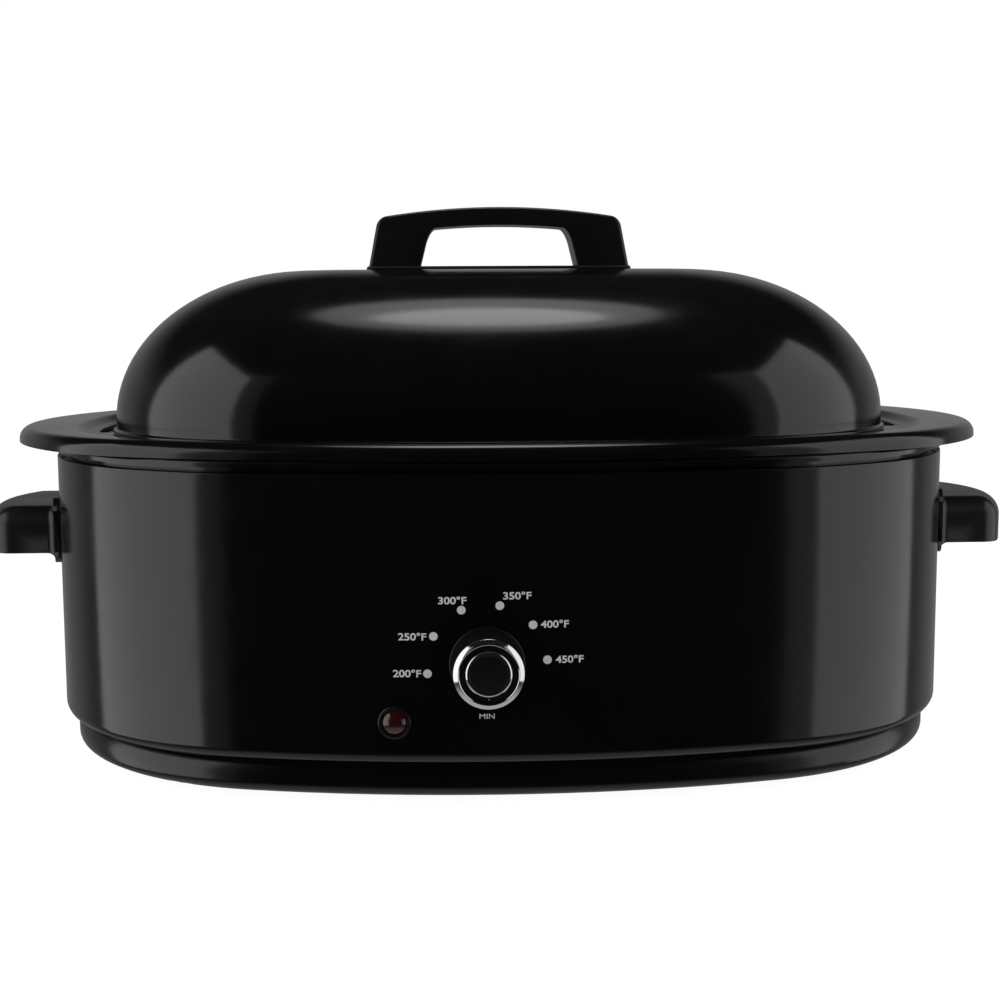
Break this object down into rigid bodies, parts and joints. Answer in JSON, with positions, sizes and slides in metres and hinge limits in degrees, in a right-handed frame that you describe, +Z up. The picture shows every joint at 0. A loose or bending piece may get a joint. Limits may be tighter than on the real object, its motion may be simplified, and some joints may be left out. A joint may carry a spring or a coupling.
{
  "type": "electric roaster oven",
  "caption": "Countertop roaster oven: oval body with heated liner, lift-out cookwell, rack and domed lid, side handles, rotary temperature knob and pilot lamp.",
  "frame": {"origin": "on the worktop, under the centre of the oval body", "axes": "+Z up, front with the knob towards -Y, the long axis from handle to handle along X"},
  "size_m": [0.61, 0.4057, 0.3092],
  "materials": {
    "black_enamel": "gloss black enamel on steel",
    "black_base": "gloss black paint on a pressed steel pan",
    "black_plastic": "semi-gloss black phenolic plastic",
    "dark_plastic": "matt black heat-resisting plastic",
    "chromed": "bright chrome plating",
    "foot_rubber": "matt black rubber",
    "aluminised": "aluminised sheet steel, dull",
    "zinc_steel": "zinc-plated steel fixings",
    "rack_wire": "bright nickel-chrome plated wire",
    "heater_cloth": "woven glass-cloth heater band, pale grey-brown",
    "wool": "pale yellow mineral wool",
    "lamp_red": "dark red translucent plastic lens",
    "bulb_glass": "clear glass neon bulb with a plastic collar",
    "lead_sleeve": "white heat-resisting silicone sleeving",
    "brown_phenolic": "brown phenolic moulding"
  },
  "bodies": {
    "housing": {"outer_shell": "black_enamel", "base_pan": "black_base", "liner": "aluminised", "liner_floor": "aluminised", "foot_front_left": "foot_rubber", "foot_front_right": "foot_rubber", "foot_rear_left": "foot_rubber", "foot_rear_right": "foot_rubber", "tie_screw_front_left": "zinc_steel", "tie_screw_front_right": "zinc_steel", "tie_screw_rear_left": "zinc_steel", "tie_screw_rear_right": "zinc_steel", "heater_band": "heater_cloth", "heater_strap": "zinc_steel", "tension_rod": "zinc_steel", "insulation": "wool", "side_handle_left": "black_plastic", "side_handle_right": "black_plastic", "handle_screw_left_front": "zinc_steel", "handle_screw_left_rear": "zinc_steel", "handle_screw_right_front": "zinc_steel", "handle_screw_right_rear": "zinc_steel", "dial_disc": "black_plastic", "thermostat_bracket": "zinc_steel", "thermostat_body": "brown_phenolic", "thermostat_sensor": "zinc_steel", "lamp_bezel": "black_plastic", "lamp_lens": "lamp_red", "lamp_bulb": "bulb_glass", "lamp_nut": "zinc_steel", "cord_gland": "dark_plastic", "gland_nut": "dark_plastic", "terminal_block": "brown_phenolic", "block_screw": "zinc_steel", "thermal_fuse": "aluminised", "fuse_clip": "zinc_steel", "lead_live": "lead_sleeve", "lead_neutral": "lead_sleeve", "lead_fuse": "lead_sleeve", "lead_element": "lead_sleeve", "lamp_lead_neutral": "lead_sleeve", "lamp_lead_switched": "lead_sleeve"},
    "cookwell": {"cookwell": "black_enamel"},
    "lid": {"lid_shell": "black_enamel", "lid_handle": "black_plastic", "lid_handle_base": "dark_plastic", "lid_washer_left": "zinc_steel", "lid_washer_right": "zinc_steel", "lid_screw_left": "zinc_steel", "lid_screw_right": "zinc_steel"},
    "rack": {"wire_rack": "rack_wire"},
    "knob": {"knob_body": "black_plastic", "knob_outer_ring": "chromed", "knob_inner_ring": "chromed", "knob_cap": "black_plastic", "thermostat_shaft": "zinc_steel"}
  },
  "joints": [
    {"name": "cookwell_lift", "type": "slide", "parent": "housing", "child": "cookwell", "axis": [0, 0, 1], "range_m": [0, 0.2]},
    {"name": "lid_lift", "type": "slide", "parent": "cookwell", "child": "lid", "axis": [0, 0, 1], "range_m": [0, 0.2]},
    {"name": "rack_lift", "type": "slide", "parent": "cookwell", "child": "rack", "axis": [0, 0, 1], "range_m": [0, 0.1]},
    {"name": "knob_turn", "type": "hinge", "parent": "housing", "child": "knob", "pos_m": [-0.015, -0.19, 0.074], "axis": [0, 1, 0], "range_deg": [0, 280]}
  ]
}
